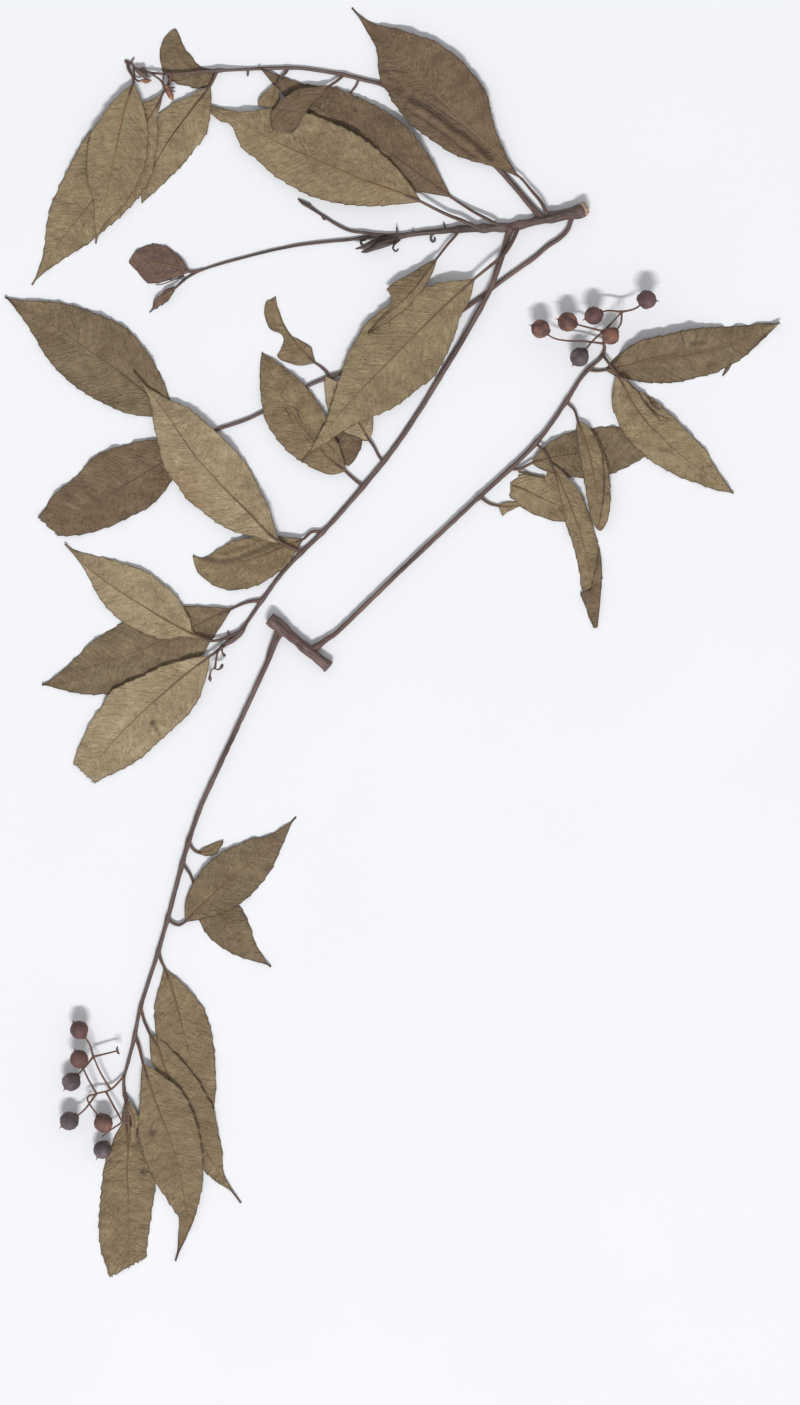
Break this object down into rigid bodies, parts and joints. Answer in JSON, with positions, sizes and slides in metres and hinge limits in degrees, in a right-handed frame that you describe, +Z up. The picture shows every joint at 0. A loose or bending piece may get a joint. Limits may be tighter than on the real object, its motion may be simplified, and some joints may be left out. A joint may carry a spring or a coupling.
{
  "type": "pressed ardisia branches",
  "caption": "Dried, pressed cuttings of a berrying evergreen shrub lying flat: pointed leaves overlapping along thin shoots, a cut stem, and small round berries on fine stalks.",
  "frame": {"origin": "on the ground, under the middle of the whole", "axes": "+Y towards the top of the picture, +X to its right, +Z up from the ground the branches lie on"},
  "size_m": [0.2924, 0.4789, 0.0128],
  "materials": {
    "leaf_under": "dry matt khaki underside",
    "leaf_upper": "dry matt dark brown upper side",
    "shoot_bark": "wrinkled purple-brown bark",
    "old_wood": "rough fissured bark",
    "berry_skin": "glossy wrinkled skin"
  },
  "bodies": {
    "root": {"berry_right_1": "berry_skin", "berry_right_2": "berry_skin", "berry_right_3": "berry_skin", "berry_right_4": "berry_skin", "berry_right_5": "berry_skin", "berry_right_6": "berry_skin", "berry_left_1": "berry_skin", "berry_left_2": "berry_skin", "berry_left_3": "berry_skin", "berry_left_4": "berry_skin", "berry_left_5": "berry_skin", "berry_left_6": "berry_skin", "main_stem": "old_wood", "under_shoot": "shoot_bark", "leaf_under_2": "leaf_upper", "long_shoot": "shoot_bark", "leaf_top_3": "leaf_under", "top_shoot": "shoot_bark", "leaf_twig_1": "leaf_under", "leaf_trunk_1": "leaf_upper", "leaf_trunk_2": "leaf_upper", "leaf_top_2": "leaf_under", "leaf_trunk_3": "leaf_under", "leaf_top_1": "leaf_under", "leaf_top_4": "leaf_under", "leaf_top_5": "leaf_under", "leaf_top_6": "leaf_under", "leaf_under_1": "leaf_under", "leaf_long_1": "leaf_under", "leaf_long_2": "leaf_under", "leaf_trunk_4": "leaf_under", "leaf_trunk_5": "leaf_upper", "leaf_under_3": "leaf_upper", "leaf_under_4": "leaf_upper", "leaf_long_3": "leaf_under", "leaf_long_4": "leaf_under", "leaf_long_5": "leaf_under", "leaf_long_6": "leaf_under", "leaf_long_7": "leaf_under", "cut_wood": "old_wood", "down_shoot": "shoot_bark", "right_shoot": "shoot_bark", "leaf_down_1": "leaf_under", "leaf_down_2": "leaf_under", "leaf_down_3": "leaf_under", "leaf_down_4": "leaf_under", "leaf_down_6": "leaf_under", "leaf_down_5": "leaf_under", "leaf_right_3": "leaf_under", "leaf_right_1": "leaf_under", "leaf_right_2": "leaf_under", "leaf_right_4": "leaf_under", "leaf_right_5": "leaf_under", "leaf_right_6": "leaf_under", "stalks_right": "shoot_bark", "stalks_left": "shoot_bark"}
  },
  "joints": []
}
